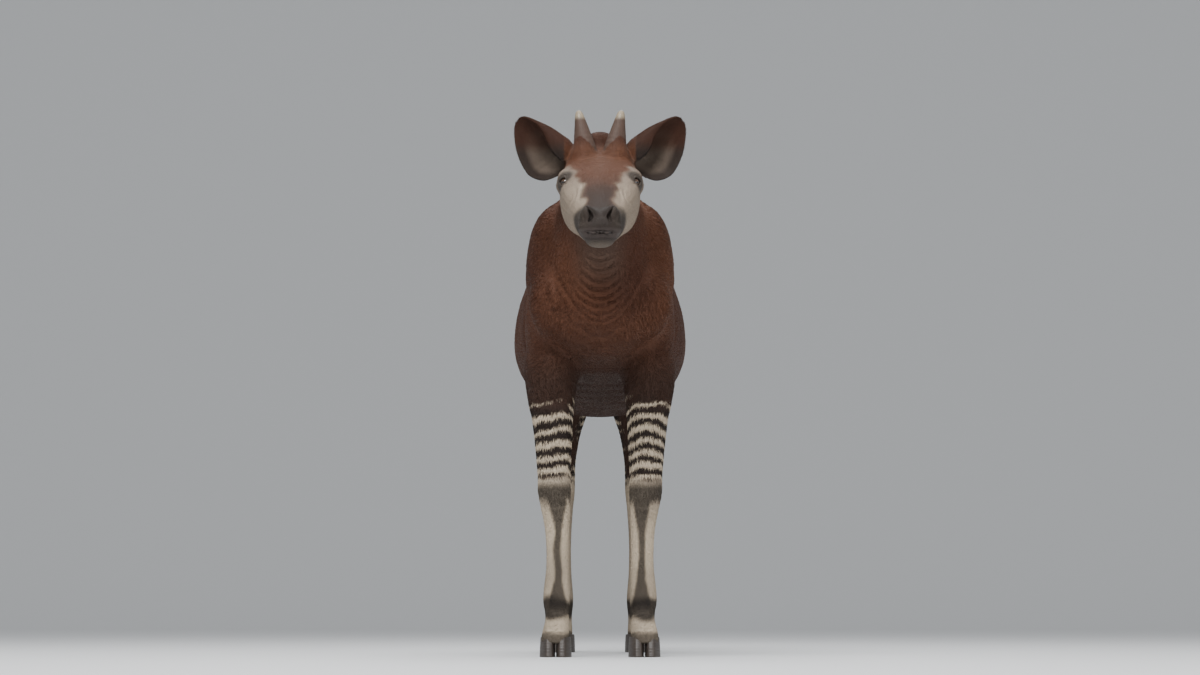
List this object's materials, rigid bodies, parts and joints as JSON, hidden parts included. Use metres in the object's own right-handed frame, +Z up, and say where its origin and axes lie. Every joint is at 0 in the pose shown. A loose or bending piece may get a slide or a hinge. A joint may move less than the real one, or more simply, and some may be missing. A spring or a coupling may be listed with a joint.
{
  "type": "okapi",
  "caption": "Life-size still model of an adult male okapi standing square on its hooves, looking straight ahead, with two short horns and wide cupped ears.",
  "frame": {"origin": "centre of the bounding box on the floor, between the four feet", "axes": "+Z up, the animal faces -Y, its left side is towards +X, and X = 0 is its mirror plane"},
  "size_m": [0.6202, 2.1451, 1.788],
  "materials": {
    "coat": "short velvety dark chestnut hair over hide, with cream bands on the legs and haunches and a pale face",
    "horn": "short hair over bone, worn to a bare pale tip",
    "eye": "wet and glossy, nearly black brown",
    "hoof": "dark satin horn with fine growth rings"
  },
  "bodies": {
    "root": {"torso": "coat", "neck": "coat", "head": "coat", "tail": "coat", "ear_left": "coat", "ear_right": "coat", "leg_front_left": "coat", "leg_front_right": "coat", "leg_hind_left": "coat", "leg_hind_right": "coat", "horn_left": "horn", "horn_right": "horn", "eye_left": "eye", "eye_right": "eye", "hoof_front_left_outer": "hoof", "hoof_front_left_inner": "hoof", "hoof_front_right_outer": "hoof", "hoof_front_right_inner": "hoof", "hoof_hind_left_outer": "hoof", "hoof_hind_left_inner": "hoof", "hoof_hind_right_outer": "hoof", "hoof_hind_right_inner": "hoof"}
  },
  "joints": []
}
